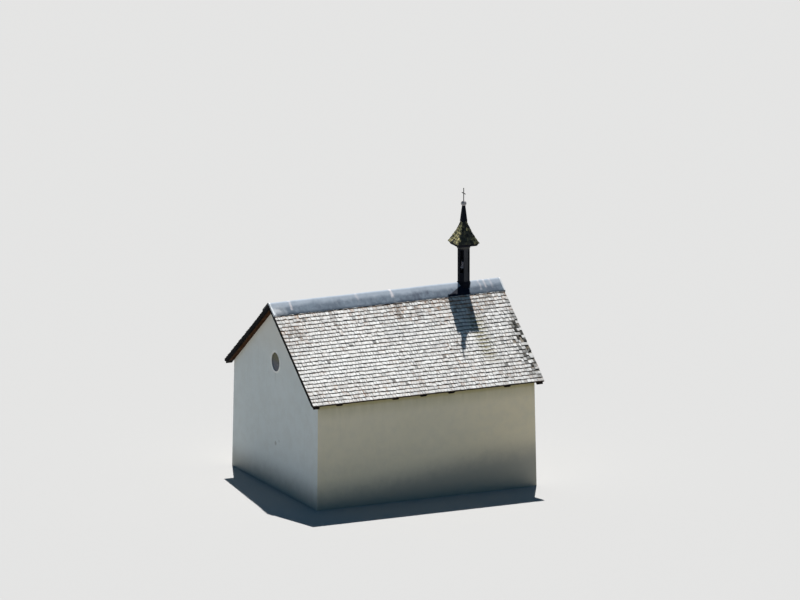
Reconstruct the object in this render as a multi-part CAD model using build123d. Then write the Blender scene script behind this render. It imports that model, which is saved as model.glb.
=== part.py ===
from build123d import *
import os
from math import cos, radians, sin, tan

os.makedirs("parts", exist_ok=True)

# X runs across the chapel, Y along its ridge, Z up. The gable with the round window faces -Y,
# the entrance gable +Y. All sizes are in millimetres.

# Masonry
wall_width = 5600.0
wall_length = 6640.0
wall_thickness = 500.0
wall_batter = 50.0
corner_round = 35.0

# Roof
roof_pitch = 37.25
eave_height = 3042.0
eave_overhang = 200.0
verge_overhang = 215.0
shingle_coat = 45.0
boarding = 25.0
ridge_clearance = 20.0
eave_board_thickness = 25.0
eave_board_drop = 32.0
eave_board_setback = 45.0
verge_board_thickness = 28.0
verge_board_depth = 80.0

# Roof timbers
rafter_width = 220.0
rafter_depth = 92.0
rafter_round = 42.0
rafter_bay = 860.0
rafter_start = 130.0
rafter_tail = 80.0
short_rafters = (1, 5)
tail_cover = 60.0
verge_rafter_depth = 70.0
plate_width = 160.0
plate_depth = 120.0
ridge_beam_width = 140.0
ridge_beam_depth = 200.0
beam_bearing = 250.0
seat_gap = 1.0

# Sheet over the ridge
flashing_reach = 490.0
flashing_thickness = 6.0
flashing_round = 90.0
end_strip_width = 32.0
end_strip_lip = 38.0

# Round window
window_above_eave = 563.0
window_glass_radius = 265.0
window_rim = 35.0
window_frame_depth = 70.0
window_glass_thickness = 8.0
window_glass_recess = 20.0
window_glass_hold = 8.0
window_proud = 6.0
window_splay = 160.0

# Floor and entrance
floor_level = 720.0
floor_thickness = 140.0
floor_bearing = 80.0
door_width = 1000.0
door_height = 2050.0
door_leaf_thickness = 45.0
door_boards = 5
door_groove = 6.0
door_gap = 4.0
door_recess = 180.0
door_frame_width = 90.0
door_frame_depth = 130.0
door_stop_depth = 30.0
door_stop_lap = 20.0
sill_thickness = 120.0

# Ironwork of the door
iron_thickness = 5.0
hinge_strap_length = 620.0
hinge_strap_width = 45.0
hinge_plate_length = 55.0
hinge_pin_radius = 10.0
hinge_inset = 260.0
latch_height = 1050.0
latch_backset = 80.0
latch_plate_width = 40.0
latch_plate_height = 180.0
lever_length = 110.0
lever_width = 18.0
lever_thickness = 14.0
lever_stand_off = 31.0
lever_rise = 40.0

# Bell turret
turret_inset = 1095.0
turret_across = 314.0
turret_board = 26.0
turret_top = 1037.0
turret_skirt_rise = 2.0
turret_skirt_reach = 110.0
turret_skirt_sheet = 8.0
bell_slot_width = 100.0
bell_slot_bottom = 262.0
bell_slot_top = 892.0
frieze_height = 90.0
frieze_proud = 14.0
panel_width = 126.0
panel_thickness = 8.0
panel_bottom = 5.0
panel_sag = 34.0

# Bell, with its profile as shares of the mouth's radius and of the height
bell_mouth = 190.0
bell_height = 180.0
bell_wall = 12.0
bell_mouth_level = 382.0
bell_profile = [(1.0, 0.0), (0.74, 0.28), (0.58, 0.62), (0.50, 0.86)]
bell_shoulder_bend = (0.42, 0.94)
bell_shoulder = (0.22, 0.97)
yoke_width = 50.0
yoke_height = 60.0

# Cap of the turret
cap_half_width = 325.0
cap_eave_thickness = 30.0
cap_soffit_height = 65.0
cap_soffit_inset = 45.0
cap_drip = 15.0
cap_flare_height = 580.0
cap_flare_power = 1.4
cap_flare_steps = 6
cap_neck_half_width = 76.0
spire_drip = 4.0
spire_tip_half_width = 36.0
spire_height = 458.0
ball_radius = 78.0
ball_seat = 22.0
rod_radius = 12.0
rod_length = 374.0
cross_arm = 110.0
cross_arm_height = 221.0

# What a cut runs past the face that it leaves
overrun = 10.0

half_wall = wall_width / 2
half_length = wall_length / 2
inner_x = half_wall - wall_thickness
inner_y = half_length - wall_thickness
half_span = half_wall + eave_overhang
half_roof = half_length + verge_overhang
slope = tan(radians(roof_pitch))
steep = cos(radians(roof_pitch))
lean = sin(radians(roof_pitch))
ridge_height = eave_height + half_span * slope
cover = shingle_coat + boarding
ridge_opening = flashing_round * lean + ridge_clearance
eave_board_face = half_span - eave_board_setback
eave_board_back = eave_board_face - eave_board_thickness
boarding_half = half_roof - verge_board_thickness
turret_y = half_roof - turret_inset


def roof_z(x, depth=0.0):
    """Height of the plane that lies this deep below the finished roof, square to the slope."""
    return ridge_height - abs(x) * slope - depth / steep


def prism(points, y_from, y_to):
    """Solid between two places along the ridge, from a section's (x, z) points."""
    outline = Polyline(*[(x, y_from, z) for x, z in points], close=True)
    return extrude(make_face(outline), amount=y_to - y_from, dir=(0, 1, 0))


def block(x_from, x_to, y_from, y_to, z_from, z_to):
    centre = ((x_from + x_to) / 2, (y_from + y_to) / 2, (z_from + z_to) / 2)
    return Pos(*centre) * Box(abs(x_to - x_from), abs(y_to - y_from), abs(z_to - z_from))


def save(shape, name):
    export_step(shape, f"parts/{name}.step")


# Walls: a battered mass up to the eaves with rounded corners, and upright gables above
wall_head = roof_z(half_wall, cover)
foot = Rectangle(wall_width + 2 * wall_batter, wall_length + 2 * wall_batter)
head = Pos(0, 0, wall_head) * Rectangle(wall_width, wall_length)
mass = loft([foot, head])
corners = mass.edges().filter_by(lambda edge: abs(edge.position_at(1).Z - edge.position_at(0).Z) > overrun)
mass = fillet(corners, corner_round)


def gable_wall(end):
    near, far = sorted((end * inner_y, end * (half_length + wall_batter)))
    slab = block(-wall_width, wall_width, near, far, 0, wall_head)
    low, high = sorted((end * inner_y, end * half_length))
    triangle = prism([(-half_wall, wall_head), (half_wall, wall_head), (0, roof_z(0, cover))], low, high)
    return (mass & slab) + triangle


def side_wall(side):
    near, far = sorted((side * inner_x, side * (half_wall + wall_batter)))
    battered = mass & block(near, far, -inner_y, inner_y, 0, wall_head)
    crown = prism(
        [
            (side * inner_x, wall_head),
            (side * half_wall, wall_head),
            (side * inner_x, roof_z(inner_x, cover)),
        ],
        -inner_y,
        inner_y,
    )
    return battered + crown


# Roof timbers
rafter_bottom = cover + rafter_depth
rafter_first = -inner_y + rafter_start
rafter_bays = max(1, round((turret_y - rafter_first) / rafter_bay))
rafter_step = (turret_y - rafter_first) / rafter_bays
rafter_places = [rafter_first + i * rafter_step for i in range(rafter_bays + 1)]


def rafter_end(number):
    """How far from the ridge a rafter reaches: short ones stop inside the wall."""
    if number in short_rafters:
        return half_wall - tail_cover
    return half_wall + rafter_tail


def rafter(side, y, reach):
    """A hewn pole with a flat back, its lower edges rounded, from the ridge beam outwards."""
    section = Rectangle(rafter_depth, rafter_width)
    lower_corners = section.vertices().group_by(Axis.X)[0]
    pole = extrude(fillet(lower_corners, rafter_round), amount=2 * half_span)
    middle = Vector(0, y, roof_z(0, cover + rafter_depth / 2))
    down = Vector(side * steep, 0, -lean)
    outward = Vector(side * lean, 0, steep)
    laid = Plane(origin=middle, x_dir=outward, z_dir=down) * pole
    inner = side * ridge_beam_width / 2
    bay = block(inner, side * reach, y - rafter_width, y + rafter_width, 0, 2 * ridge_height)
    return laid & bay


def rafter_notch(side, y, reach):
    """Slot in the wall's head, as deep as the rafter."""
    near = inner_x - overrun
    far = min(reach, half_wall + overrun)
    top = cover - overrun
    points = [
        (side * near, roof_z(near, top)),
        (side * far, roof_z(far, top)),
        (side * far, roof_z(far, rafter_bottom)),
        (side * near, roof_z(near, rafter_bottom)),
    ]
    half = rafter_width / 2 + seat_gap
    return prism(points, y - half, y + half)


def verge_rafter(side, end):
    """Timber that lies against a gable, under the boards that overhang it."""
    bottom = cover + verge_rafter_depth
    points = [
        (0, roof_z(0, cover)),
        (side * eave_board_back, roof_z(eave_board_back, cover)),
        (side * eave_board_back, roof_z(eave_board_back, bottom)),
        (0, roof_z(0, bottom)),
    ]
    low, high = sorted((end * half_length, end * boarding_half))
    return prism(points, low, high) - mass


def wall_plate(side):
    """Beam in a rebate at the wall's inner edge, with its top bevelled to the rafters."""
    outer = inner_x + plate_width
    bottom = roof_z(outer, rafter_bottom) - plate_depth
    points = [
        (side * inner_x, bottom),
        (side * outer, bottom),
        (side * outer, roof_z(outer, rafter_bottom)),
        (side * inner_x, roof_z(inner_x, rafter_bottom)),
    ]
    return prism(points, -inner_y, inner_y)


half_beam = ridge_beam_width / 2
beam_bottom = roof_z(0, cover) - ridge_beam_depth
ridge_beam = prism(
    [
        (-half_beam, beam_bottom),
        (half_beam, beam_bottom),
        (half_beam, roof_z(half_beam, cover)),
        (0, roof_z(0, cover)),
        (-half_beam, roof_z(half_beam, cover)),
    ],
    -inner_y - beam_bearing,
    inner_y + beam_bearing,
)
save(ridge_beam, "ridge_beam")

# Floor, let into the walls all round
nave_floor = block(
    -inner_x - floor_bearing,
    inner_x + floor_bearing,
    -inner_y - floor_bearing,
    inner_y + floor_bearing,
    floor_level - floor_thickness,
    floor_level,
)
save(nave_floor, "nave_floor")

# Side walls with seats for the floor, the plates and the rafters
for side, hand in ((-1, "left"), (1, "right")):
    plate = wall_plate(side)
    wall = side_wall(side) - plate - nave_floor
    rafters = []
    for number, y in enumerate(rafter_places):
        reach = rafter_end(number)
        wall -= rafter_notch(side, y, reach)
        rafters.append(rafter(side, y, reach))
    for end in (-1, 1):
        rafters.append(verge_rafter(side, end))
    save(wall, f"{hand}_side_wall")
    save(plate, f"{hand}_wall_plate")
    save(Compound(children=rafters), f"{hand}_rafters")

# Round window in the first gable
window_height = eave_height + window_above_eave
window_facing = Plane(origin=(0, -half_length, window_height), x_dir=(1, 0, 0), z_dir=(0, 1, 0))
face_lean = max(0.0, wall_batter * (1 - window_height / wall_head))
frame_start = -face_lean - window_proud
frame_radius = window_glass_radius + window_rim
splay_start = frame_start + window_frame_depth


def disc(radius, start, depth):
    """Round plate on the window's axis; its depth is measured into the wall."""
    return window_facing * Pos(0, 0, start) * extrude(Circle(radius), amount=depth)


window_seat = disc(frame_radius, frame_start - wall_batter, window_frame_depth + wall_batter)
window_splayed = window_facing * loft(
    [
        Pos(0, 0, splay_start) * Circle(window_glass_radius),
        Pos(0, 0, wall_thickness + overrun) * Circle(window_glass_radius + window_splay),
    ]
)
window_glass = disc(
    window_glass_radius + window_glass_hold, frame_start + window_glass_recess, window_glass_thickness
)
window_frame = disc(frame_radius, frame_start, window_frame_depth)
window_frame -= disc(window_glass_radius, frame_start, window_frame_depth)
window_frame -= window_glass
save(window_glass, "round_window_glass")
save(window_frame, "round_window_frame")
save(gable_wall(-1) - window_seat - window_splayed - ridge_beam - nave_floor, "window_gable_wall")

# Entrance in the second gable
half_door = door_width / 2
half_opening = half_door + door_frame_width
door_top = floor_level + door_height
opening_top = door_top + door_frame_width
wall_foot = half_length + wall_batter
sill_back = inner_y + floor_bearing
sill = block(-half_opening, half_opening, sill_back, wall_foot, floor_level - sill_thickness, floor_level)
doorway = block(-half_opening, half_opening, inner_y - overrun, wall_foot + overrun, floor_level, opening_top)
save(sill, "door_sill")
save(gable_wall(1) - doorway - sill - ridge_beam - nave_floor, "entrance_gable_wall")

frame_face = half_length - door_recess
frame_back = frame_face - door_frame_depth
leaf_back = frame_face - door_leaf_thickness
stop_back = leaf_back - door_stop_depth
stop_half = half_door - door_stop_lap
door_frame = block(-half_opening, half_opening, frame_back, frame_face, floor_level, opening_top)
door_frame -= block(-half_door, half_door, leaf_back, frame_face, floor_level, door_top)
door_frame -= block(-stop_half, stop_half, stop_back, leaf_back, floor_level, door_top - door_stop_lap)
door_frame -= block(-half_door, half_door, frame_back, stop_back, floor_level, door_top)
save(door_frame, "door_frame")

# Boarded leaf, flush with its frame
half_leaf = half_door - door_gap
leaf_bottom = floor_level + door_gap
leaf_top = door_top - door_gap
leaf = block(-half_leaf, half_leaf, leaf_back, frame_face, leaf_bottom, leaf_top)
leaf_board = 2 * half_leaf / door_boards
for number in range(1, door_boards):
    edge = -half_leaf + number * leaf_board
    leaf -= block(
        edge - door_groove / 2,
        edge + door_groove / 2,
        frame_face - door_groove,
        frame_face + overrun,
        leaf_bottom - overrun,
        leaf_top + overrun,
    )
save(leaf, "door_leaf")


def hinge(z):
    """Long strap on the leaf, short plate on the frame, and the pin's barrel over the gap."""
    half = hinge_strap_width / 2
    face = frame_face + iron_thickness
    pin_x = -half_door
    strap_end = pin_x + hinge_strap_length
    strap = block(pin_x - hinge_plate_length, strap_end, frame_face, face, z - half, z + half)
    barrel = Pos(pin_x, frame_face + hinge_pin_radius, z) * Cylinder(hinge_pin_radius, hinge_strap_width)
    return strap + barrel


hinges = [hinge(leaf_bottom + hinge_inset), hinge(leaf_top - hinge_inset)]
save(Compound(children=hinges), "door_hinges")

latch_x = half_leaf - latch_backset
latch_z = floor_level + latch_height
lever_z = latch_z + lever_rise
lever_face = frame_face + iron_thickness + lever_stand_off
latch = block(
    latch_x - latch_plate_width / 2,
    latch_x + latch_plate_width / 2,
    frame_face,
    frame_face + iron_thickness,
    latch_z - latch_plate_height / 2,
    latch_z + latch_plate_height / 2,
)
spindle_length = lever_face + lever_thickness - frame_face
spindle_plane = Plane(origin=(latch_x, frame_face, lever_z), z_dir=(0, 1, 0))
latch += spindle_plane * extrude(Circle(lever_width / 2), amount=spindle_length)
latch += block(
    latch_x - lever_length,
    latch_x,
    lever_face,
    lever_face + lever_thickness,
    lever_z - lever_width / 2,
    lever_z + lever_width / 2,
)
save(latch, "door_latch")


# Roof covering
def roof_layer(side, top, bottom, x_from, x_to, half):
    """One slope of a roof covering, cut plumb at its upper and lower edges."""
    points = [
        (side * x_from, roof_z(x_from, top)),
        (side * x_to, roof_z(x_to, top)),
        (side * x_to, roof_z(x_to, bottom)),
        (side * x_from, roof_z(x_from, bottom)),
    ]
    return prism(points, -half, half)


eave_foot = roof_z(eave_board_face, shingle_coat) - eave_board_drop


def eave_board(side):
    points = [
        (side * eave_board_back, roof_z(eave_board_back, shingle_coat)),
        (side * eave_board_face, roof_z(eave_board_face, shingle_coat)),
        (side * eave_board_face, eave_foot),
        (side * eave_board_back, eave_foot),
    ]
    return prism(points, -boarding_half, boarding_half)


def verge_board(side, end):
    """Board under the shingles' ends, with its foot cut level with the eave board."""
    bottom = shingle_coat + verge_board_depth
    level_from = (roof_z(0, bottom) - eave_foot) / slope
    points = [
        (0, roof_z(0, shingle_coat)),
        (side * eave_board_face, roof_z(eave_board_face, shingle_coat)),
        (side * eave_board_face, eave_foot),
        (side * level_from, eave_foot),
        (0, roof_z(0, bottom)),
    ]
    low, high = sorted((end * boarding_half, end * half_roof))
    return prism(points, low, high)


for side, hand in ((-1, "left"), (1, "right")):
    save(roof_layer(side, shingle_coat, cover, 0, eave_board_back, boarding_half), f"{hand}_roof_boarding")
    save(roof_layer(side, 0, shingle_coat, ridge_opening, half_span, half_roof), f"{hand}_shingles")
    save(eave_board(side), f"{hand}_eave_board")
    save(verge_board(side, -1), f"{hand}_window_verge_board")
    save(verge_board(side, 1), f"{hand}_entrance_verge_board")


# Ridge sheet, rounded over the top, and the strips folded down over its ends
def under_ridge(lift, radius, half):
    """Solid with its top this high above the roof's planes, rounded along the ridge."""
    reach_x = flashing_reach * steep
    bottom = roof_z(reach_x) - flashing_reach
    outline = Polyline(
        (-reach_x, roof_z(reach_x) + lift),
        (0, ridge_height + lift),
        (reach_x, roof_z(reach_x) + lift),
        (reach_x, bottom),
        (-reach_x, bottom),
        close=True,
    )
    section = make_face(outline)
    section = fillet(section.vertices().sort_by(Axis.Y)[-1], radius)
    upright = Plane(origin=(0, -half, 0), x_dir=(1, 0, 0), z_dir=(0, -1, 0))
    return extrude(upright * section, amount=2 * half, dir=(0, 1, 0))


sheet_lift = flashing_thickness / steep
strip_end = half_roof + flashing_thickness
strip_start = half_roof - end_strip_width
below_sheet = under_ridge(0, flashing_round, half_roof)
roof_and_sheet = under_ridge(sheet_lift, flashing_round + flashing_thickness, half_roof)
below_lip = under_ridge(-end_strip_lip / steep, flashing_round, strip_end + overrun)
strips = under_ridge(2 * sheet_lift, flashing_round + 2 * flashing_thickness, strip_end)
strips -= block(-half_span, half_span, -strip_start, strip_start, 0, 2 * ridge_height)
save(roof_and_sheet - below_sheet, "ridge_flashing")
save(strips - roof_and_sheet - below_lip, "ridge_end_strips")

# Batten between the two slopes' shingles, rounded under the sheet
batten_foot = roof_z(ridge_opening, shingle_coat)
batten = prism(
    [
        (-ridge_opening, batten_foot),
        (0, roof_z(0, shingle_coat)),
        (ridge_opening, batten_foot),
        (ridge_opening, ridge_height),
        (-ridge_opening, ridge_height),
    ],
    -half_roof,
    half_roof,
)
save(batten & below_sheet, "ridge_batten")

# Bell turret
turret = Pos(0, turret_y, 0)
shaft_base = ridge_height - turret_across
shaft_top = ridge_height + turret_top
inside_across = turret_across - 2 * turret_board


def eight_sided(across, base, top):
    section = Rot(0, 0, 22.5) * RegularPolygon(across / 2, 8, major_radius=False)
    return Pos(0, 0, base) * extrude(section, amount=top - base)


shaft = eight_sided(turret_across, shaft_base, shaft_top) - eight_sided(inside_across, shaft_base, shaft_top)
slot = Box(2 * turret_across, bell_slot_width, bell_slot_top - bell_slot_bottom)
slot_middle = ridge_height + (bell_slot_top + bell_slot_bottom) / 2
for turn in (45, 135):
    shaft -= Pos(0, 0, slot_middle) * Rot(0, 0, turn) * slot
save(turret * shaft - roof_and_sheet, "turret_shaft")

# Lead dressed up round the foot of the shaft
skirt_top = ridge_height + turret_skirt_rise
skirt_foot_across = turret_across + 2 * turret_skirt_reach
skirt_top_across = turret_across + 2 * turret_skirt_sheet
skirt_foot = Rot(0, 0, 22.5) * RegularPolygon(skirt_foot_across / 2, 8, major_radius=False)
skirt_neck = Rot(0, 0, 22.5) * RegularPolygon(skirt_top_across / 2, 8, major_radius=False)
skirt = loft([Pos(0, 0, shaft_base) * skirt_foot, Pos(0, 0, skirt_top) * skirt_neck])
skirt -= eight_sided(turret_across, shaft_base, skirt_top)
save(turret * skirt - roof_and_sheet, "turret_skirt")

frieze_base = shaft_top - frieze_height
frieze = eight_sided(turret_across + 2 * frieze_proud, frieze_base, shaft_top)
frieze -= eight_sided(turret_across, frieze_base, shaft_top)
save(turret * frieze, "turret_frieze")

# Boards over the two faces of the shaft that look down the slopes, rounded at the foot
half_panel = panel_width / 2
panel_foot = ridge_height + panel_bottom
left_foot = (-half_panel, panel_foot + panel_sag)
right_foot = (half_panel, panel_foot + panel_sag)
panel_outline = Polyline(left_foot, (-half_panel, frieze_base), (half_panel, frieze_base), right_foot)
panel_outline += ThreePointArc(right_foot, (0, panel_foot), left_foot)
panels = []
for side in (-1, 1):
    start = side * turret_across / 2
    facing = Plane(origin=(start, 0, 0), x_dir=(0, 1, 0), z_dir=(1, 0, 0))
    panels.append(turret * extrude(facing * make_face(panel_outline), amount=side * panel_thickness))
save(Compound(children=panels), "turret_panels")

# Bell under its yoke
bell_radius = bell_mouth / 2
mouth_z = ridge_height + bell_mouth_level
crown_z = mouth_z + bell_height
outside = [(bell_radius * x, bell_height * z) for x, z in bell_profile]
inside = [(x - bell_wall, z) for x, z in outside]
bend = (bell_radius * bell_shoulder_bend[0], bell_height * bell_shoulder_bend[1])
shoulder = (bell_radius * bell_shoulder[0], bell_height * bell_shoulder[1])
profile = Spline(*outside)
profile += ThreePointArc(outside[-1], bend, shoulder)
profile += Polyline(shoulder, (shoulder[0], bell_height), (0, bell_height), (0, inside[-1][1]), inside[-1])
profile += Spline(*reversed(inside))
profile += Line(inside[0], outside[0])
bell = revolve(Plane.XZ * make_face(profile), Axis.Z)
save(turret * Pos(0, 0, mouth_z) * bell, "bell")

half_yoke = yoke_width / 2
half_bore = inside_across / 2
yoke = Pos(0, 0, crown_z) * block(-half_bore, half_bore, -half_yoke, half_yoke, 0, yoke_height)
save(turret * yoke, "bell_yoke")


# Flared cap over the shaft, square in plan
def square(half, z):
    return Pos(0, 0, z) * Rectangle(2 * half, 2 * half)


def cap_half(rise):
    """Half the cap's width at this height above the top of its eave edge."""
    left = 1 - rise / cap_flare_height
    return cap_neck_half_width + (cap_half_width - cap_neck_half_width) * left**cap_flare_power


soffit_z = shaft_top + cap_soffit_height
eave_z = soffit_z + cap_eave_thickness
rises = [i * cap_flare_height / cap_flare_steps for i in range(cap_flare_steps + 1)]
cap = loft([square(cap_half(rise), eave_z + rise) for rise in rises], ruled=True)
cap += extrude(square(cap_half_width, soffit_z), amount=cap_eave_thickness)
cap += loft(
    [
        square(cap_half_width - cap_soffit_inset, shaft_top),
        square(cap_half_width - cap_drip, soffit_z),
    ]
)
save(turret * cap, "turret_cap")

spire_z = eave_z + cap_flare_height
spire_top = spire_z + spire_height
spire_foot_half_width = cap_neck_half_width + spire_drip
spire = loft([square(spire_foot_half_width, spire_z), square(spire_tip_half_width, spire_top)])
save(turret * spire, "turret_spire")

ball_z = spire_top + ball_radius - ball_seat
ball = Pos(0, 0, ball_z) * Sphere(ball_radius)
save(turret * (ball - spire), "turret_ball")

rod_foot = ball_z + ball_radius - rod_radius
rod = Pos(0, 0, rod_foot) * extrude(Circle(rod_radius), amount=rod_length)
arms = Pos(0, 0, rod_foot + cross_arm_height) * Rot(0, 90, 0) * Cylinder(rod_radius, 2 * cross_arm)
save(turret * (rod + arms - ball), "turret_cross")
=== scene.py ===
import random
from math import ceil, cos, pi, radians, sin, sqrt, tan

import bpy
from mathutils import Matrix, Vector, noise


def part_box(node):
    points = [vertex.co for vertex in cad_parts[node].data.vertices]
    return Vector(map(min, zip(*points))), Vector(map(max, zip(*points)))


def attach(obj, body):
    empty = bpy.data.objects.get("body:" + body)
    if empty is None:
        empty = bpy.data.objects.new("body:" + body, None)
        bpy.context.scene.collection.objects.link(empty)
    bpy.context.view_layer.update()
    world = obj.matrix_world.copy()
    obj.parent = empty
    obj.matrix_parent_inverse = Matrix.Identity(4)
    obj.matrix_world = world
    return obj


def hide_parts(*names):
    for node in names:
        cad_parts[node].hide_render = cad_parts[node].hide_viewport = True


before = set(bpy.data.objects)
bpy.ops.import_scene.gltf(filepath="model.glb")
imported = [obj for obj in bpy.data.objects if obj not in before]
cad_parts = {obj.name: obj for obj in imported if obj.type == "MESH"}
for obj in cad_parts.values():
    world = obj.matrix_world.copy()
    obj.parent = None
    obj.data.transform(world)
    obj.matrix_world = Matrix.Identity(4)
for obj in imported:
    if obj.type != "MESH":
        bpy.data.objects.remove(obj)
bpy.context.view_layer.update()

# The chapel's roof, in metres. X runs across the chapel, Y along its ridge, Z up.
roof_pitch = radians(37.25)
eave_height = 3.042
shingle_coat = 0.045
boarding = 0.025
flashing_reach = 0.49
flashing_round = 0.09
half_span, half_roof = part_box("right_shingles")[1].xy
slope = tan(roof_pitch)
steep = cos(roof_pitch)
lean = sin(roof_pitch)
ridge_height = eave_height + half_span * slope
eave_reach = half_span / steep
course = 0.13
slopes = ((-1, "left"), (1, "right"))

# Corners of a square, anticlockwise from above
square = ((-1, -1), (1, -1), (1, 1), (-1, 1))

# Seeds of the random draws
seeds = {
    "left_shingles": 77,
    "right_shingles": 41,
    "left_boards": 6,
    "right_boards": 5,
    "ridge_sheet": 12,
    "sheet_nails": 31,
    "door_nails": 33,
    "cap": 23,
}

# Light, floor and camera
sun_travel = Vector((0.49, -0.229, -1.0))
sun_colour = (1.0, 0.985, 0.96)
sun_strength = 7.5
sun_width = radians(0.6)
sky_colour = (0.225, 0.58, 1.0)
sky_strength = 0.16
floor_tone = (0.345, 0.34, 0.335)
floor_half = 100.0

view_azimuth = radians(65.19)
view_elevation = radians(13.89)
view_distance = 700.0
view_depth = 1.5
sensor_width = 36.0
nearest_seen = 50.0
farthest_seen = 1000.0
picture_width = 800
picture_height = 600
pixels_per_metre = 36.0
datum_pixel = (384.08, 370.91)
datum_height = 3.0


class Socket:
    """What a shader node gives. Arithmetic on it adds Math nodes."""

    def __init__(self, finish, output):
        self.finish = finish
        self.output = output

    def math(self, operation, first, second):
        return self.finish.node("ShaderNodeMath", {"operation": operation}, {0: first, 1: second})

    def __add__(self, other):
        return self.math("ADD", self, other)

    def __radd__(self, other):
        return self.math("ADD", other, self)

    def __sub__(self, other):
        return self.math("SUBTRACT", self, other)

    def __rsub__(self, other):
        return self.math("SUBTRACT", other, self)

    def __mul__(self, other):
        return self.math("MULTIPLY", self, other)

    def __rmul__(self, other):
        return self.math("MULTIPLY", other, self)

    def __abs__(self):
        return self.math("ABSOLUTE", self, 0.0)


class Finish:
    """A material under construction, built node by node round its Principled shader."""

    def __init__(self, name, slot):
        self.slot = slot
        self.material = bpy.data.materials.new(name)
        self.material.use_nodes = True
        self.tree = self.material.node_tree
        self.shader = self.tree.nodes["Principled BSDF"]

    def feed(self, socket, value):
        if isinstance(value, Socket):
            self.tree.links.new(value.output, socket)
        elif socket.type == "RGBA":
            socket.default_value = (*value, 1.0)
        else:
            socket.default_value = value

    def node(self, kind, settings=None, values=None, output=0):
        """Adds a node: its settings first, then the values or links of its sockets."""
        made = self.tree.nodes.new(kind)
        for name, value in (settings or {}).items():
            setattr(made, name, value)
        for name, value in (values or {}).items():
            self.feed(made.inputs[name], value)
        return Socket(self, made.outputs[output])

    def surface(self, **values):
        for name, value in values.items():
            self.feed(self.shader.inputs[name.replace("_", " ")], value)
        return self

    def place(self, stretch=(1.0, 1.0, 1.0), turn=0.0, mirrored=False):
        """Position on the chapel, turned about Y and then stretched. Mirrored makes both slopes alike."""
        at = self.node("ShaderNodeTexCoord", output="Object")
        if mirrored:
            x, y, z = self.parts(at)
            at = self.node("ShaderNodeCombineXYZ", {}, {"X": abs(x), "Y": y, "Z": z})
        if turn:
            at = self.node("ShaderNodeMapping", {}, {"Vector": at, "Rotation": (0.0, turn, 0.0)})
        return self.node("ShaderNodeMapping", {}, {"Vector": at, "Scale": stretch})

    def parts(self, whole, kind="XYZ"):
        """The three parts of a vector or, when the kind is Color, of a colour."""
        split = self.node("ShaderNodeSeparate" + kind, {}, {0: whole})
        return [Socket(self, output) for output in split.output.node.outputs]

    def distance(self, first, second):
        values = {0: first, 1: second}
        return self.node("ShaderNodeVectorMath", {"operation": "DISTANCE"}, values, output="Value")

    def noise(self, at, scale, detail=3.0, roughness=0.55, distortion=0.0):
        values = {"Vector": at, "Scale": scale, "Detail": detail}
        values.update({"Roughness": roughness, "Distortion": distortion})
        return self.node("ShaderNodeTexNoise", {}, values)

    def between(self, value, low, high, start=0.0, end=1.0):
        """Smooth step from start to end while the value goes from low to high."""
        values = {"Value": value, "From Min": low, "From Max": high, "To Min": start, "To Max": end}
        return self.node("ShaderNodeMapRange", {"interpolation_type": "SMOOTHSTEP"}, values)

    def mix(self, mask, first, second):
        return self.node("ShaderNodeMix", {"data_type": "RGBA"}, {0: mask, 6: first, 7: second}, output=2)

    def coat(self, tone, rough, relief, depth, gloss=0.5):
        """Joins the finish to its shader: colour, roughness, relief of this depth, and gloss."""
        relieved = self.node("ShaderNodeBump", {}, {"Height": relief, "Distance": depth})
        return self.surface(Base_Color=tone, Roughness=rough, Specular_IOR_Level=gloss, Normal=relieved)


def add_object(name, data):
    made = bpy.data.objects.new(name, data)
    bpy.context.scene.collection.objects.link(made)
    return made


def shaded(colour, share):
    return tuple(share * value for value in colour)


black = (0.0, 0.0, 0.0)

# Plaster marks, as heights above the ground and places along the walls
warm_end = (0.0, 3.2)
cool_side = (2.0, -2.0)
olive_rise = (2.45, 3.0)
eave_line_rise = (2.83, 2.95)
rain_rise = (0.4, 2.8)
verge_fade = (0.42, 0.1)
peak_rise = (3.3, 5.0)
window_wall = (-3.2, -3.3)
window_middle = (0.0, 3.605, 0.0)
window_ring = 0.30
streak_foot = 2.86
streak_head = 3.30
streak_half_width = 0.10
ground_line_climb = (-2.5, 4.2, 0.0, 0.68)
splash_shade_fade = (1.15, 0.25)
sunny_side = (-2.4, -2.8)

# Two dark blemishes on the window gable: middle, radius and strength
blemishes = (
    ((0.055, 1.29, 0.0), 0.075, 0.55),
    ((0.28, 1.40, 0.0), 0.055, 0.3),
)


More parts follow.
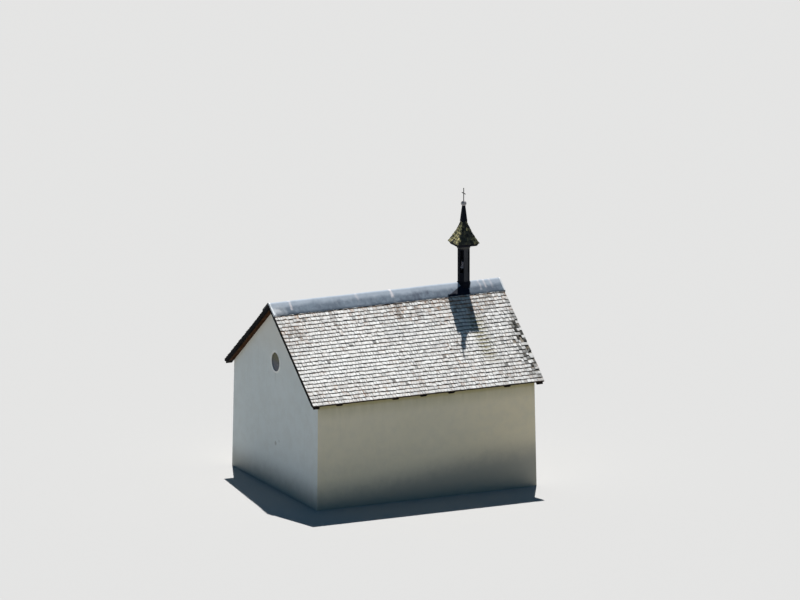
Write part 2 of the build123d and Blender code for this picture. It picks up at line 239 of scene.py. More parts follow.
def plaster():
    """Lime plaster, with painted light in its tints: cool painted sky shade on the gables, warm painted
    bounce light on the side walls; stained with olive below the eaves.
    """
    wall = Finish("lime plaster", "plaster")
    at = wall.place()
    x, y, z = wall.parts(at)
    _, along, _ = wall.parts(wall.node("ShaderNodeNewGeometry", output="Normal"))
    gable = wall.between(abs(along), 0.45, 0.75)
    side = 1 - gable
    cloud = wall.noise(at, 0.55, 4.0, 0.6)
    mottle = wall.noise(at, 3.2, 5.0, 0.62)
    speck = wall.noise(at, 46.0, 3.0, 0.6)
    # Painted light: the warm tint of the side walls stands in for warm bounce light and grows towards the far
    # end; the cool tint of the gables stands in for cool sky shade, and the left side wall leans towards it
    warm = wall.mix(cloud, (0.71, 0.643, 0.462), (0.79, 0.715, 0.54))
    warm = wall.mix(wall.between(y, *warm_end, 0.0, 0.8), warm, (0.88, 0.755, 0.515))
    cool = wall.mix(cloud, (0.69, 0.735, 0.71), (0.765, 0.80, 0.77))
    warm = wall.mix(wall.between(x, *cool_side, 0.0, 0.6), warm, cool)
    tone = wall.mix(gable, warm, cool)
    tone = wall.mix(wall.between(mottle, 0.35, 0.7, 0.0, 0.16), tone, (0.52, 0.50, 0.43))
    tone = wall.mix(wall.between(speck, 0.62, 0.75, 0.0, 0.18), tone, (0.42, 0.40, 0.35))

    # Olive runs, a darker olive band just under the eave, and rain marks below the eaves
    runs = wall.noise(wall.place((7.0, 7.0, 0.5)), 1.0, 5.0, 0.62)
    olive = wall.between(z, *olive_rise) * side * wall.between(runs, 0.30, 0.70, 0.55, 0.9)
    tone = wall.mix(olive * 0.75, tone, (0.40, 0.37, 0.21))
    eave_line = wall.between(z + 0.04 * mottle, *eave_line_rise) * side
    tone = wall.mix(eave_line * 0.6, tone, (0.40, 0.34, 0.12))
    rain = wall.between(runs, 0.58, 0.78) * wall.between(z, *rain_rise, 0.05, 0.22)
    tone = wall.mix(rain, tone, (0.47, 0.45, 0.37))

    # Warmer plaster along the verges and towards the peak
    below_verge = ridge_height - abs(x) * slope - z
    edge = wall.between(below_verge, *verge_fade) * gable
    tone = wall.mix(edge * 0.5, tone, (0.66, 0.60, 0.43))
    peak = wall.between(z + 0.4 * cloud, *peak_rise) * gable
    tone = wall.mix(peak * 0.6, tone, (0.82, 0.77, 0.66))

    # The window's pale ring, the streak under it and the blemishes
    front = wall.between(y, *window_wall)
    line = wall.between(abs(x + 0.03 * wall.noise(at, 4.0)), streak_half_width, 0.0)
    run = line * wall.between(z, streak_foot, streak_head)
    run = run * wall.between(z, streak_head + 0.02, streak_head)
    tone = wall.mix(run * front * 0.3, tone, (0.45, 0.46, 0.41))
    flat = wall.node("ShaderNodeCombineXYZ", {}, {"X": x, "Y": z})
    from_window = wall.distance(flat, window_middle) + 0.03 * mottle
    limed = wall.between(from_window, window_ring + 0.055, window_ring + 0.02) * front
    tone = wall.mix(limed * 0.8, tone, (0.95, 0.94, 0.90))
    for middle, radius, strength in blemishes:
        away = wall.distance(flat, middle) + 0.05 * mottle
        spot = wall.between(away, radius + 0.03, radius - 0.02) * front
        tone = wall.mix(spot * strength, tone, (0.34, 0.32, 0.27))

    # Darker towards the ground, partly splash dirt and partly painted shade
    ground_line = wall.between(y + 0.3 * x, *ground_line_climb)
    splash_and_shade = wall.between(z + 0.5 * mottle - ground_line, *splash_shade_fade)
    tone = wall.mix(splash_and_shade * 0.8, tone, (0.34, 0.33, 0.285))
    # Painted shade on the side wall that faces the sun, making it a little darker
    tone = wall.mix(wall.between(x, *sunny_side, 0.0, 0.2) * side, tone, black)
    rough = wall.between(mottle, 0.2, 0.8, 0.86, 0.97)
    relief = wall.noise(at, 2.2, 2.0, 0.5) * 0.8 + mottle * 0.25 + speck * 0.06
    return wall.coat(tone, rough, relief, depth=0.02, gloss=0.25)


def floor_stone():
    stone = Finish("worn floor stone", "floor_stone")
    at = stone.place()
    wear = stone.noise(at, 3.0, 5.0, 0.6)
    grit = stone.noise(at, 90.0, 3.0, 0.6)
    tone = stone.mix(wear, (0.17, 0.165, 0.15), (0.30, 0.29, 0.265))
    tone = stone.mix(stone.between(grit, 0.5, 0.75, 0.0, 0.3), tone, (0.10, 0.10, 0.09))
    rough = stone.between(wear, 0.3, 0.7, 0.55, 0.85)
    return stone.coat(tone, rough, wear + grit * 0.15, depth=0.006)


# Weathered timber: its grain, and where the rafters' tails and the boards' ends turn dark as painted shade
grain_across = 9.0
grain_along = 0.55
tail_reach = (2.76, 2.80)
board_end_reach = (3.455, 3.48)
tail_shade_tone = (0.003, 0.003, 0.003)
verge_shade_tone = (0.004, 0.003, 0.002)


def old_wood(name, slot, dark, light, run, turn=0.0, dark_tail=False, dark_verge=False):
    """Weathered timber whose grain runs along one axis, after a turn about Y that suits both slopes."""
    wood = Finish(name, slot)
    stretch = [grain_across, grain_across, grain_across]
    stretch["XYZ".index(run)] = grain_along
    at = wood.place(stretch, turn, mirrored=True)
    fibre = wood.noise(at, 9.0, 5.0, 0.65, 0.4)
    band = wood.noise(at, 1.3, 3.0, 0.5, 0.8)
    patch = wood.noise(wood.place(), 2.6, 3.0, 0.6)
    tone = wood.mix(wood.between(fibre, 0.3, 0.72), dark, light)
    tone = wood.mix(wood.between(band, 0.42, 0.66, 0.0, 0.6), tone, dark)
    silver = tuple(0.2 * sum(light) + 0.75 * value for value in light)
    tone = wood.mix(wood.between(patch, 0.5, 0.8, 0.0, 0.5), tone, silver)
    x, y, _ = wood.parts(wood.place())
    if dark_tail:
        # Painted shade: the rafters' tails past the wall turn near black
        tail_shade = wood.between(abs(x), *tail_reach, 0.0, 0.9)
        tone = wood.mix(tail_shade, tone, tail_shade_tone)
    if dark_verge:
        # Painted shade: the poles and boards turn near black towards the verge
        verge_shade = wood.between(abs(y), *board_end_reach, 0.0, 0.95)
        tone = wood.mix(verge_shade, tone, verge_shade_tone)
    rough = wood.between(fibre, 0.2, 0.8, 0.75, 0.95)
    return wood.coat(tone, rough, fibre + band * 0.5, depth=0.0016, gloss=0.12)


# Olive drip below the turret: the middle and half width of its band, and the heights it runs between
drip_place = 2.28
drip_half_width = 0.36
drip_foot = 3.40
drip_head = 4.68
drip_tone = (0.19, 0.17, 0.07)


def split_shingles(name, low, high, soil_and_shade, brown, moss, pale, dirt, cut_ends_and_shade, growth, sunlit_slope_shade):
    """Split softwood. Each piece carries its tone, brown and moss in one attribute, its grain in another."""
    wood = Finish(name, "shingles")
    weathering = wood.node("ShaderNodeAttribute", {"attribute_name": "weathering"})
    tone_of, brown_of, moss_of = wood.parts(weathering, "Color")
    grain_at = wood.node("ShaderNodeAttribute", {"attribute_name": "grain"}, output="Vector")
    across, along, pick = wood.parts(grain_at)
    values = {"X": across * 34.0, "Y": along * 2.6, "Z": pick * 40.0}
    stretched = wood.node("ShaderNodeCombineXYZ", {}, values)
    fibre = wood.noise(stretched, 1.0, 5.0, 0.66, 0.3)
    fine = wood.noise(stretched, 4.2, 3.0, 0.6)
    at = wood.place()
    cloud = wood.noise(at, 1.1, 4.0, 0.6)
    blotch = wood.noise(at, 23.0, 4.0, 0.62)
    tone = wood.mix(tone_of, low, high)
    tone = wood.mix(wood.between(fibre, 0.56, 0.34, 0.0, 0.5), tone, shaded(low, 0.4))
    tone = wood.mix(wood.between(fine, 0.64, 0.42, 0.0, 0.25), tone, shaded(low, 0.4))
    tone = wood.mix(wood.between(cloud, 0.45, 0.72, 0.0, 0.25), tone, pale)
    rusty = brown_of * wood.between(fibre + 0.5 * blotch, 0.66, 0.94)
    tone = wood.mix(rusty, tone, brown)

    # The olive drip, strongest in each course's upper part
    x, y, z = wood.parts(at)
    drip = wood.between(abs(y - drip_place + 0.25 * (cloud - 0.5)), drip_half_width, 0.04)
    drip = drip * wood.between(z, drip_foot, drip_foot + 0.4) * wood.between(z, drip_head, drip_head - 0.2)
    drip = drip * wood.between(along + 0.04 * blotch, 0.35 * course, 0.85 * course, 0.12, 1.0)
    tone = wood.mix(drip * wood.between(fibre + blotch, 1.2, 0.9, 0.6, 1.0), tone, drip_tone)

    # Moss; dirt and painted shade under the next course; end grain and painted shade on the cut ends and side
    # faces; painted shade on the slope that faces the sun
    grown = moss_of * wood.between(blotch + fine * 0.4, *growth)
    tone = wood.mix(grown, tone, moss)
    # Dirt and painted shade under the next course's butt
    tucked_dirt_and_shade = wood.between(along + 0.02 * blotch, 0.75 * course, 1.05 * course)
    tone = wood.mix(tucked_dirt_and_shade * dirt, tone, wood.mix(brown_of, shaded(soil_and_shade, 0.18), brown))
    # End grain and painted shade: the butts and the faces that turn sideways or down go dark
    end_grain_and_shade = wood.mix(brown_of, shaded(soil_and_shade, 0.05), shaded(brown, 0.4))
    tone = wood.mix(wood.between(along, 0.005, 0.0008) * 0.95, tone, end_grain_and_shade)
    facing = wood.parts(wood.node("ShaderNodeNewGeometry", output="True Normal"))
    tone = wood.mix(wood.between(facing[2], 0.4, 0.2) * cut_ends_and_shade, tone, end_grain_and_shade)
    # Painted shade on the slope that faces the sun
    tone = wood.mix(wood.between(x, 0.0, -0.02) * sunlit_slope_shade, tone, black)
    rough = wood.between(fibre, 0.25, 0.75, 0.72, 0.93)
    return wood.coat(tone, rough, fibre + fine * 0.35 + grown * 0.6, depth=0.0035, gloss=0.28)


# Marks on the ridge sheet: where along the ridge, how wide, how strong
sheet_streaks = (
    (-2.94, 0.06, 0.7),
    (0.16, 0.06, 0.85),
    (2.86, 0.04, 0.35),
    (3.02, 0.05, 0.45),
    (3.20, 0.05, 0.35),
    (-0.9, 0.05, 0.3),
)
near_end = (-2.9, -3.4)
smeared_middle = 1.3

# How far below the ridge the pale runs and the painted highlight along the crown begin and are full
pale_run_fall = (0.24, 0.10)
crown_highlight_fall = (0.175, 0.07)
# Where the painted shade on the slope that faces the sun begins and is full, across the ridge
sheet_sunny_side = (-0.03, -0.12)

# Painted shadow on the sheet beside the turret's foot: where it starts along the ridge, and how it widens
shadow_patch_start = 1.79
shadow_patch_end = 2.5
shadow_patch_depth = 0.46
shadow_patch_spread = 0.63


def ridge_sheet():
    """Old lead: blue-grey and mottled, with a painted highlight along its upper part, pale runs, painted
    shade on the slope that faces the sun, and a painted shadow beside the turret's foot.
    """
    sheet = Finish("mottled sheet", "ridge_sheet")
    at = sheet.place()
    x, y, z = sheet.parts(at)
    cloud = sheet.noise(at, 1.6, 5.0, 0.66, 0.5)
    blot = sheet.noise(at, 6.5, 5.0, 0.68, 0.3)
    grit = sheet.noise(at, 70.0, 3.0, 0.6)
    tone = sheet.mix(sheet.between(cloud, 0.32, 0.68), (0.082, 0.108, 0.140), (0.140, 0.176, 0.218))
    tone = sheet.mix(sheet.between(blot, 0.50, 0.74, 0.0, 0.6), tone, (0.24, 0.275, 0.325))
    tone = sheet.mix(sheet.between(blot, 0.48, 0.28, 0.0, 0.7), tone, (0.062, 0.082, 0.118))
    end = sheet.between(y + 0.2 * cloud, *near_end) * sheet.between(blot, 0.3, 0.6, 0.5, 0.95)
    tone = sheet.mix(end, tone, (0.58, 0.60, 0.62))
    high = sheet.between(ridge_height - z, *pale_run_fall)
    runs = sheet.noise(sheet.place((1.2, 14.0, 1.2)), 1.0, 4.0, 0.6)
    tone = sheet.mix(sheet.between(runs, 0.54, 0.74, 0.0, 0.45) * high, tone, (0.36, 0.37, 0.39))
    smear = sheet.noise(sheet.place((2.2, 3.4, 2.2)), 1.0, 5.0, 0.7, 0.6)
    smeared = sheet.between(abs(y - smeared_middle), smeared_middle, 0.5, 0.5, 0.95)
    tone = sheet.mix(sheet.between(smear, 0.54, 0.36) * smeared, tone, (0.060, 0.075, 0.105))
    tone = sheet.mix(sheet.between(smear, 0.54, 0.7, 0.0, 0.2), tone, (0.22, 0.25, 0.29))
    # Painted highlight along the crown of the ridge
    fall = ridge_height - z + 0.14 * (cloud - 0.5) + 0.09 * (blot - 0.5)
    crown_highlight = sheet.between(fall, *crown_highlight_fall, 0.0, 0.93)
    tone = sheet.mix(crown_highlight, tone, sheet.mix(smear, (0.22, 0.26, 0.31), (0.37, 0.415, 0.475)))
    faint = sheet.between(blot + 0.3 * high, 0.5, 0.85)
    for place, width, strength in sheet_streaks:
        wobble = y + 0.16 * (blot - 0.5) + 0.05 * (z - ridge_height) - place
        streak = sheet.between(abs(wobble), width, 0.0, 0.0, strength)
        tone = sheet.mix(streak * faint, tone, (0.66, 0.60, 0.60))
    tone = sheet.mix(sheet.between(grit, 0.6, 0.75, 0.0, 0.2), tone, (0.06, 0.07, 0.09))
    # Painted shade on the slope that faces the sun
    tone = sheet.mix(sheet.between(x, *sheet_sunny_side, 0.0, 0.3), tone, black)
    # Painted shadow beside and below the turret's foot
    below_ridge = (ridge_height - z) * (1 / lean)
    patch = sheet.between(below_ridge - shadow_patch_depth + (y - shadow_patch_start) * shadow_patch_spread, -0.01, 0.012)
    patch = patch * sheet.between(y, shadow_patch_start - 0.01, shadow_patch_start + 0.03)
    patch = patch * sheet.between(y, shadow_patch_end, shadow_patch_end - 0.03) * sheet.between(x, 0.0, 0.01)
    tone = sheet.mix(patch, tone, (0.006, 0.009, 0.02))
    rough = sheet.between(blot, 0.3, 0.7, 0.6, 0.8)
    return sheet.coat(tone, rough, cloud + blot * 0.5 + grit * 0.05, depth=0.008, gloss=0.12)


def end_strip():
    """Bright strip that closes the sheet's ends, with painted shade on the slope that faces the sun."""
    strip = Finish("pale end strip", "ridge_sheet")
    at = strip.place()
    x, y, _ = strip.parts(at)
    wear = strip.noise(at, 9.0, 5.0, 0.66, 0.4)
    tone = strip.mix(strip.between(wear, 0.38, 0.68), (0.50, 0.53, 0.55), (0.80, 0.82, 0.84))
    tone = strip.mix(strip.between(y, 0.0, 1.0, 0.0, 0.6), tone, (0.42, 0.44, 0.46))
    # Painted shade on the slope that faces the sun
    tone = strip.mix(strip.between(x, 0.0, -0.02), tone, (0.03, 0.032, 0.034))
    rough = strip.between(wear, 0.3, 0.7, 0.5, 0.72)
    return strip.coat(tone, rough, wear, depth=0.0015, gloss=0.2)


def plain_sheet(name, slot, dark, light, rough=0.7, metallic=0.0):
    """Painted or tarnished metal with worn patches and a fine tooth."""
    metal = Finish(name, slot)
    at = metal.place()
    wear = metal.noise(at, 9.0, 5.0, 0.66, 0.4)
    runs = metal.noise(metal.place((30.0, 30.0, 2.0)), 1.0, 4.0, 0.6)
    grit = metal.noise(at, 160.0, 2.0, 0.6)
    tone = metal.mix(metal.between(wear, 0.38, 0.68), dark, light)
    tone = metal.mix(metal.between(runs, 0.55, 0.75, 0.0, 0.4), tone, light)
    metal.surface(Metallic=metallic)
    rough = metal.between(wear, 0.3, 0.7, rough, rough + 0.22)
    return metal.coat(tone, rough, wear + grit * 0.1, depth=0.0015, gloss=0.2)


def old_glass():
    """Dusty pane, olive with dirt above and bluer below."""
    glass = Finish("old glass", "window_glass")
    at = glass.place()
    z = glass.parts(at)[2]
    dust = glass.noise(at, 14.0, 4.0, 0.62)
    rise = glass.between(z + 0.05 * dust, 3.5, 3.78)
    tone = glass.mix(rise, (0.040, 0.053, 0.082), (0.060, 0.055, 0.006))
    tone = glass.mix(glass.between(dust, 0.5, 0.75, 0.0, 0.3), tone, (0.09, 0.086, 0.05))
    rough = glass.between(dust, 0.35, 0.7, 0.12, 0.3)
    return glass.coat(tone, rough, glass.noise(at, 5.0, 2.0), depth=0.004, gloss=0.14)


trim_dark = (0.004, 0.004, 0.005)
trim_light = (0.014, 0.012, 0.012)
finishes = {
    "plaster": plaster(),
    "stone": floor_stone(),
    "eave": old_wood("dark board along the eave", "dark_wood", trim_dark, trim_light, "Y"),
    "verge": old_wood("dark board down the verge", "dark_wood", trim_dark, trim_light, "X", roof_pitch),
    "beam": old_wood("brown beam", "roof_timber", (0.045, 0.022, 0.012), (0.12, 0.062, 0.032), "Y"),
    "pole": old_wood(
        "brown pole",
        "roof_timber",
        (0.020, 0.0065, 0.0012),
        (0.105, 0.040, 0.009),
        "X",
        roof_pitch,
        dark_tail=True,
        dark_verge=True,
    ),
    "board": old_wood(
        "brown roof board",
        "roof_timber",
        (0.028, 0.009, 0.0015),
        (0.125, 0.047, 0.010),
        "X",
        roof_pitch,
        dark_verge=True,
    ),
    "door": old_wood("door board", "dark_wood", (0.030, 0.019, 0.012), (0.10, 0.062, 0.038), "Z"),
    "stave": old_wood("turret stave", "turret_wood", (0.003, 0.0034, 0.006), (0.013, 0.014, 0.022), "Z"),
    "frieze": old_wood("turret frieze", "turret_wood", (0.06, 0.06, 0.055), (0.15, 0.145, 0.13), "X"),
    "panel": old_wood("turret panel", "turret_panel", (0.037, 0.037, 0.042), (0.075, 0.074, 0.078), "Z"),
    "sheet": ridge_sheet(),
    "strip": end_strip(),
    # The skirt is dark lead, painted darker still as shade
    "skirt": plain_sheet("lead skirt in painted shade", "ridge_sheet", (0.0006, 0.001, 0.004), (0.004, 0.005, 0.013)),
    "spire": plain_sheet("dark spire sheet", "spire_sheet", (0.0004, 0.0018, 0.007), (0.004, 0.006, 0.013)),
    "ball": plain_sheet("worn ball metal", "ball_metal", (0.26, 0.24, 0.24), (0.52, 0.49, 0.48), 0.55, 0.1),
    "iron": plain_sheet("black iron", "wrought_iron", (0.010, 0.010, 0.011), (0.035, 0.028, 0.025), 0.5, 0.5),
    "bronze": plain_sheet("dull bronze", "bell_bronze", (0.30, 0.27, 0.30), (0.62, 0.57, 0.62), 0.45, 0.35),
    "ring": plain_sheet("pale window ring", "window_ring", (0.90, 0.88, 0.80), (0.97, 0.95, 0.90), 0.75),
    "glass": old_glass(),
    "shingles": split_shingles(
        "silvered shingles",
        low=(0.62, 0.612, 0.595),
        high=(0.985, 0.963, 0.925),
        soil_and_shade=(0.60, 0.52, 0.38),
        brown=(0.26, 0.135, 0.065),
        moss=(0.014, 0.014, 0.010),
        pale=(0.95, 0.95, 0.94),
        dirt=0.88,
        cut_ends_and_shade=0.97,
        growth=(0.50, 0.64, 0.25, 1.0),
        sunlit_slope_shade=0.38,
    ),
    "cap": split_shingles(
        "lichened cap shingles",
        low=(0.012, 0.015, 0.013),
        high=(0.07, 0.075, 0.06),
        soil_and_shade=(0.012, 0.015, 0.013),
        brown=(0.05, 0.032, 0.02),
        moss=(0.69, 0.60, 0.28),
        pale=(0.10, 0.105, 0.085),
        dirt=0.7,
        cut_ends_and_shade=0.0,
        growth=(0.60, 0.72, 0.05, 1.0),
        sunlit_slope_shade=0.0,
    ),
}
bevel_steps = 2
bevel_from = radians(35)
smooth_shingles = radians(40)
smooth_sheet = radians(50)


# Which nodes wear each finish, and how wide their edges are eased
dressed = (
    ("plaster", 0.0, "window_gable_wall entrance_gable_wall left_side_wall right_side_wall"),
    ("stone", 0.006, "nave_floor door_sill"),
    ("eave", 0.003, "left_eave_board right_eave_board"),
    ("verge", 0.003, "left_window_verge_board left_entrance_verge_board"),
    ("verge", 0.003, "right_window_verge_board right_entrance_verge_board"),
    ("beam", 0.006, "ridge_beam left_wall_plate right_wall_plate"),
    ("beam", 0.0, "ridge_batten"),
    ("pole", 0.006, "left_rafters right_rafters"),
    ("door", 0.002, "door_leaf door_frame"),
    ("iron", 0.001, "door_hinges door_latch"),
    ("iron", 0.0, "turret_cross"),
    ("ring", 0.006, "round_window_frame"),
    ("glass", 0.0, "round_window_glass"),
    ("strip", 0.002, "ridge_end_strips"),
    ("skirt", 0.003, "turret_skirt"),
    ("stave", 0.004, "turret_shaft bell_yoke"),
    ("panel", 0.002, "turret_panels"),
    ("frieze", 0.005, "turret_frieze"),
    ("spire", 0.004, "turret_spire"),
    ("ball", 0.0, "turret_ball"),
    ("bronze", 0.0, "bell"),
)
for finish, soft, names in dressed:
    for name in names.split():
        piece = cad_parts[name]
        for slot in piece.material_slots:
            slot.material = finishes[finish].material
        if soft:
            ease = piece.modifiers.new("eased edges", "BEVEL")
            ease.width = soft
            ease.segments = bevel_steps
            ease.limit_method = "ANGLE"
            ease.angle_limit = bevel_from


class Pieces:
    """Many thin solids gathered into one mesh, each with its own weathering and grain."""

    def __init__(self):
        self.points = []
        self.faces = []
        self.weathering = []
        self.grain = []

    def solid(self, points, faces, weathering=(0.5, 0.0, 0.0), grain=()):
        """Closed solid, with one weathering for all its points and a grain for each."""
        base = len(self.points)
        self.points.extend(points)
        self.faces.extend(tuple(base + corner for corner in face) for face in faces)
        self.weathering.extend((*weathering, 1.0) * len(points))
        for spot in grain or [(0.0, 0.0, 0.0)] * len(points):
            self.grain.extend(spot)

    def slab(self, rows, weathering=(0.5, 0.0, 0.0), grain=()):
        """Closed solid through rows of pairs of points, top and bottom. Seen from the top, rows run right."""
        columns = len(rows[0])
        lower = len(rows) * columns
        starts = range(0, lower - columns, columns)
        faces = []
        for start in starts:
            for a in range(start, start + columns - 1):
                faces.append((a, a + 1, a + columns + 1, a + columns))
                faces.append((lower + a, lower + a + columns, lower + a + columns + 1, lower + a + 1))
        for j in range(columns - 1):
            last = lower - columns + j
            faces.append((lower + j, lower + j + 1, j + 1, j))
            faces.append((last, last + 1, lower + last + 1, lower + last))
        for left in starts:
            right = left + columns - 1
            faces.append((left, left + columns, lower + left + columns, lower + left))
            faces.append((lower + right, lower + right + columns, right + columns, right))
        points = [pair[level] for level in (0, 1) for row in rows for pair in row]
        self.solid(points, faces, weathering, grain + grain)

    def stack(self, rings):
        """Closed solid through rings of points that run anticlockwise, seen from the last ring."""
        corners = len(rings[0])
        points = [point for ring in rings for point in ring]
        top = len(points) - corners
        faces = [tuple(reversed(range(corners)))]
        for start in range(0, top, corners):
            for corner in range(corners):
                a = start + corner
                b = start + (corner + 1) % corners
                faces.append((a, b, b + corners, a + corners))
        faces.append(tuple(range(top, len(points))))
        self.solid(points, faces)

    def finished(self, name, finish, *replaced, smooth=0.0):
        mesh = bpy.data.meshes.new(name)
        mesh.from_pydata(self.points, [], self.faces)
        weathering = mesh.attributes.new("weathering", "FLOAT_COLOR", "POINT")
        weathering.data.foreach_set("color", self.weathering)
        grain = mesh.attributes.new("grain", "FLOAT_VECTOR", "POINT")
        grain.data.foreach_set("vector", self.grain)
        mesh.materials.append(finishes[finish].material)
        if smooth:
            mesh.shade_smooth()
            mesh.set_sharp_from_angle(angle=smooth)
        piece = add_object(name, mesh)
        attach(piece, "root")
        if replaced:
            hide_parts(*replaced)


def slope_point(side, across, down, height):
    """Point on a slope seen from outside: across to the right, down from the ridge, height over it."""
    x = down * steep + height * lean
    z = ridge_height - down * lean + height * steep
    return (side * x, side * across, z)


def drift(a, b, seed):
    """Slow waver between -1 and 1."""
    return noise.noise(Vector((a, b, seed)))


def within(value):
    """The value, kept between 0 and 1."""
    return max(0.0, min(1.0, value))


# Shingles of the roof
course_fall = 0.014
course_bed = 0.004
shingle_length = 0.36
shingle_gap = 0.005
narrow = 0.05
wide = 0.135
usual = 0.08
first_seen_course = 0.42
top_of_shingles = 0.13
verge_ragged = 0.004
verge_inset = 0.003
eave_clearance = 0.0005

# Short courses under the first: how far down they are bedded, and how long they are
starter_courses = ((0.024, 0.14), (0.012, 0.25))

# Rows of points above a shingle's butt, the share of a bite in each, and the width with a fourth column
shingle_rows = (0.0, 0.010, 0.12)
bite_shares = (1.0, 0.4, 0.0, 0.0)
broad = 0.10

# How uneven a shingle is, as means and spreads, and as ranges
tip_thickness = 0.003
butt_thickness = (0.013, 0.020)
shingle_lift = (0.0012, 0.0018)
shingle_cup = (0.0006, 0.0026)
shingle_twist = (0.0, 0.0028)
shingle_skew = (0.0, 0.012)
shingle_slant = (0.0, 0.035)
deepest_bite = 0.016
butt_sag = 0.0022
butt_scatter = 0.0055
course_waver = 0.007
bedding = 0.007
loose_bedding = 0.003
gap_share = (0.3, 2.2)
slip_range = (-0.045, 0.030)
raised_range = (0.002, 0.007)

# Chances that a shingle has slipped, stands up or is gone, and what wear adds to them
slip_chance = 0.003
slip_chance_worn = 0.3
raised_chance = 0.10
raised_chance_worn = 0.5
gone_chance_worn = 0.05
worn_share_left = 0.4

# The worn patch beside the far verge, along the ridge and down the slope
worn_from = 3.05
worn_to = 3.45
worn_down = 2.5
worn_reach = 1.45

# Dark runs below the sheet: where along the ridge, from and to how far down, how strong
stained_runs = (
    (0.15, 0.45, 1.10, 0.9),
    (-0.10, 0.45, 0.75, 0.5),
    (0.69, 0.65, 1.20, 0.6),
    (-1.85, 0.45, 1.15, 0.6),
    (-2.20, 0.45, 1.00, 0.45),
    (-3.04, 1.05, 1.45, 0.5),
)
stain_half_width = 0.07

# Where along the ridge the near part starts and its nearest end, and where the far part does
near_part = -0.5
nearest_part = -1.4
far_part = 2.4

# Tone of the shingles, how much cleaner the near part is, and how the eave darkens them
usual_tone = 0.62
tone_spread = 0.27
near_cleaner = 0.28
eave_zone_start = 2.9
eave_zone_width = 0.7
eave_darker = 0.12

# Rust, and moss along the verges and in single tufts
rust_strength = 3.2
rust_nearest = 0.45
rust_near = 0.9
rust_far = 1.2
verge_zone = 0.22
tuft_chance = 0.015
tuft_moss = (0.3, 0.8)


def worn_patch(across, down):
    """How broken the roof is: most in the lower half beside the far verge."""
    far = within((across - worn_from) / (worn_to - worn_from))
    middle = max(0.0, 1 - abs(down - worn_down) / worn_reach)
    return far * min(1.0, 1.5 * middle)


def stained(y, down):
    """How strongly a dark run below the sheet marks this place."""
    marks = [0.0]
    for place, start, end, strength in stained_runs:
        if start < down < end and abs(y - place) < stain_half_width:
            marks.append(strength)
    return max(marks)


def shingle_weathering(rng, side, across, down):
    """Tone, brown and moss of a shingle: rusty below the sheet and at the near verge, mossy where worn."""
    y = side * across
    clean = near_cleaner if y < near_part else 0.0
    tone = within(rng.gauss(usual_tone + clean, tone_spread) + 0.2 * drift(0.8 * y, 0.8 * down, 3.0 * side))
    near_sheet = max(0.0, 1 - (down - flashing_reach))
    near_eave = within((down - eave_zone_start) / eave_zone_width)
    tone = max(0.0, tone - eave_darker * near_eave)
    rust_cloud = max(0.0, drift(1.1 * y, 0.9 * down, 11.0) + 0.25)
    rust_here = rust_nearest if y < nearest_part else rust_near if y < near_part else rust_far
    rusty = rust_strength * near_sheet * (0.25 + rust_cloud) * rust_here
    brown = min(1.0, rng.random() ** 1.5 * (0.25 + rusty + 0.5 * rust_cloud + 0.5 * near_eave))
    worn = worn_patch(y, down) if side > 0 else 0.35 * worn_patch(y, down)
    verge = max(0.0, 1 - (half_roof - abs(y)) / verge_zone)
    moss = 0.05 * rng.random() + worn * rng.choice((0.1, 0.9, 1.5)) + 0.35 * verge * rng.random() ** 2
    shade = 0.7 if y > 2.5 else 0.5 if y > -1.0 else 0.1
    moss = min(1.0, min(1.0, moss) + near_sheet * rng.random() ** 3 * shade)
    if y > far_part:
        moss = min(1.0, moss + 0.3 * rng.random() ** 4)
    near_verge = within((-2.55 - y) / 0.5) * max(0.0, 1 - abs(down - 1.2) / 1.1)
    brown = max(brown, near_verge * rng.uniform(0.0, 1.1))
    moss = max(moss, 0.5 * near_verge * rng.random() ** 3)
    stain = stained(y, down) * rng.uniform(0.5, 1.0)
    tone = tone * (1 - 0.8 * stain)
    brown = max(brown, stain) * (1 - 0.8 * worn)
    moss = max(moss, 0.7 * stain)
    if rng.random() < tuft_chance:
        moss = rng.uniform(*tuft_moss)
    return tone, brown, moss


def lay_shingle(pieces, rng, side, left, right, butt, under, weathering, length):
    """One tapered shingle. Its butt is ragged and it is cupped a little across its width."""
    columns = 4 if right - left > broad else 3
    thick = rng.uniform(*butt_thickness)
    lift = rng.gauss(*shingle_lift)
    cup = rng.gauss(*shingle_cup)
    twist = rng.gauss(*shingle_twist)
    skew = rng.gauss(*shingle_skew)
    slant = rng.gauss(*shingle_slant)
    pick = rng.random()
    bites = [rng.uniform(0.0, deepest_bite) * rng.random() for _ in range(columns)]
    rows = []
    grain = []
    for away, bite in zip((*shingle_rows, length), bite_shares):
        row = []
        kept = 1 - away / length
        body = tip_thickness + (thick - tip_thickness) * kept
        for j in range(columns):
            share = j / (columns - 1)
            centred = 2 * share - 1
            u = left + (right - left) * share + skew * away
            u = max(-half_roof, min(half_roof, u))
            down = butt - away - bites[j] * bite + slant * (u - left)
            bend = (lift + cup * (centred * centred - 0.4) + twist * centred) * kept
            if away == 0:
                bend -= butt_sag
            height = -under - course_fall * away / course + bend
            row.append([slope_point(side, u, down, level) for level in (height, height - body)])
            grain.append((u - left, away, pick))
        rows.append(row)
    pieces.slab(rows, weathering, grain)


